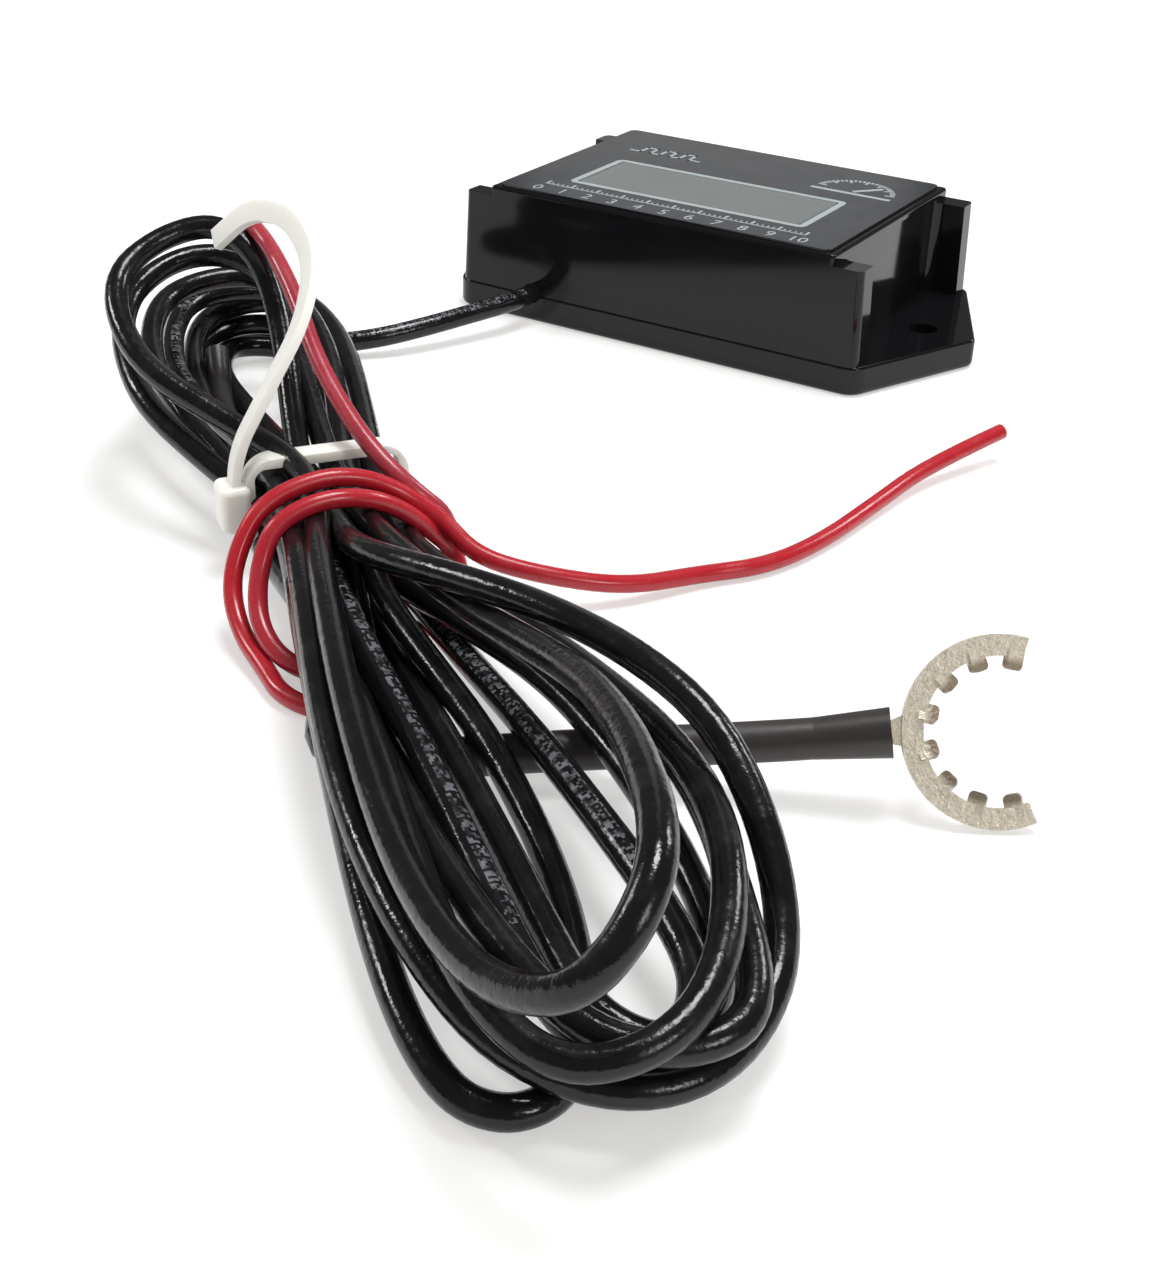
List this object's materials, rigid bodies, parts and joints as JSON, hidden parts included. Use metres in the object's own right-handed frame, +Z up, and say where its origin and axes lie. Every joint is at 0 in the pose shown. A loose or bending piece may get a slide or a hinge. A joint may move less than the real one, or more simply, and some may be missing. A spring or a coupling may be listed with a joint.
{
  "type": "small engine tachometer",
  "caption": "Small engine tachometer: low black display housing on an eared base plate, with a tied hank of thin cable, an open toothed ground terminal and a red lead.",
  "frame": {"origin": "centre of the base plate's underside, on the surface that the housing stands on", "axes": "+X along the housing from ear to ear, with the cable's exit near the -X end, -Y towards the wall that the cable leaves, +Z up through the display"},
  "size_m": [0.1408, 0.1879, 0.0344],
  "materials": {
    "cover": "moulded black, smooth and glossy",
    "base_plate": "moulded black, smooth and glossy",
    "seal_gasket": "soft black cord",
    "closure_screws": "zinc plated",
    "face_label": "dark blue-grey printed film, satin",
    "window_lens": "clear plastic, polished",
    "lcd_glass": "grey-green display cell",
    "lcd_reflector": "matt silvered sheet",
    "contact_strip_front": "layered elastomer",
    "contact_strip_back": "layered elastomer",
    "display_holder": "moulded, white",
    "circuit_board": "green solder mask",
    "controller_chip": "moulded black package",
    "quartz_crystal": "nickel plated can",
    "input_capacitor": "dipped resin",
    "clamp_diode": "glass body on tinned leads",
    "chip_resistors": "ceramic with black coat",
    "battery_cell": "nickel plated can",
    "battery_tab_positive": "nickel strip",
    "battery_tab_negative": "nickel strip",
    "cable_retainer": "crimped collar",
    "coax_inner_lead": "black jacket",
    "core_pigtail": "natural insulation",
    "braid_pigtail": "twisted tinned copper",
    "coax_lead_in": "black jacket, semi-gloss",
    "coax_hank": "black jacket, semi-gloss",
    "ground_sleeve": "black shrunk sleeve, satin",
    "ground_terminal": "tin plated, speckled",
    "splice_sleeve": "black shrunk sleeve, satin",
    "red_wire_upper": "red insulation",
    "red_wire_wraps": "red insulation",
    "red_wire_tail": "red insulation",
    "cable_tie": "natural translucent nylon"
  },
  "bodies": {
    "root": {"cover": "cover", "base_plate": "base_plate", "seal_gasket": "seal_gasket", "closure_screws": "closure_screws", "face_label": "face_label", "window_lens": "window_lens", "lcd_glass": "lcd_glass", "lcd_reflector": "lcd_reflector", "contact_strip_front": "contact_strip_front", "contact_strip_back": "contact_strip_back", "display_holder": "display_holder", "circuit_board": "circuit_board", "controller_chip": "controller_chip", "quartz_crystal": "quartz_crystal", "input_capacitor": "input_capacitor", "clamp_diode": "clamp_diode", "chip_resistors": "chip_resistors", "battery_cell": "battery_cell", "battery_tab_positive": "battery_tab_positive", "battery_tab_negative": "battery_tab_negative", "cable_retainer": "cable_retainer", "coax_inner_lead": "coax_inner_lead", "core_pigtail": "core_pigtail", "braid_pigtail": "braid_pigtail", "coax_lead_in": "coax_lead_in", "coax_hank": "coax_hank", "ground_sleeve": "ground_sleeve", "ground_terminal": "ground_terminal", "splice_sleeve": "splice_sleeve", "red_wire_upper": "red_wire_upper", "red_wire_wraps": "red_wire_wraps", "red_wire_tail": "red_wire_tail", "cable_tie": "cable_tie"}
  },
  "joints": []
}
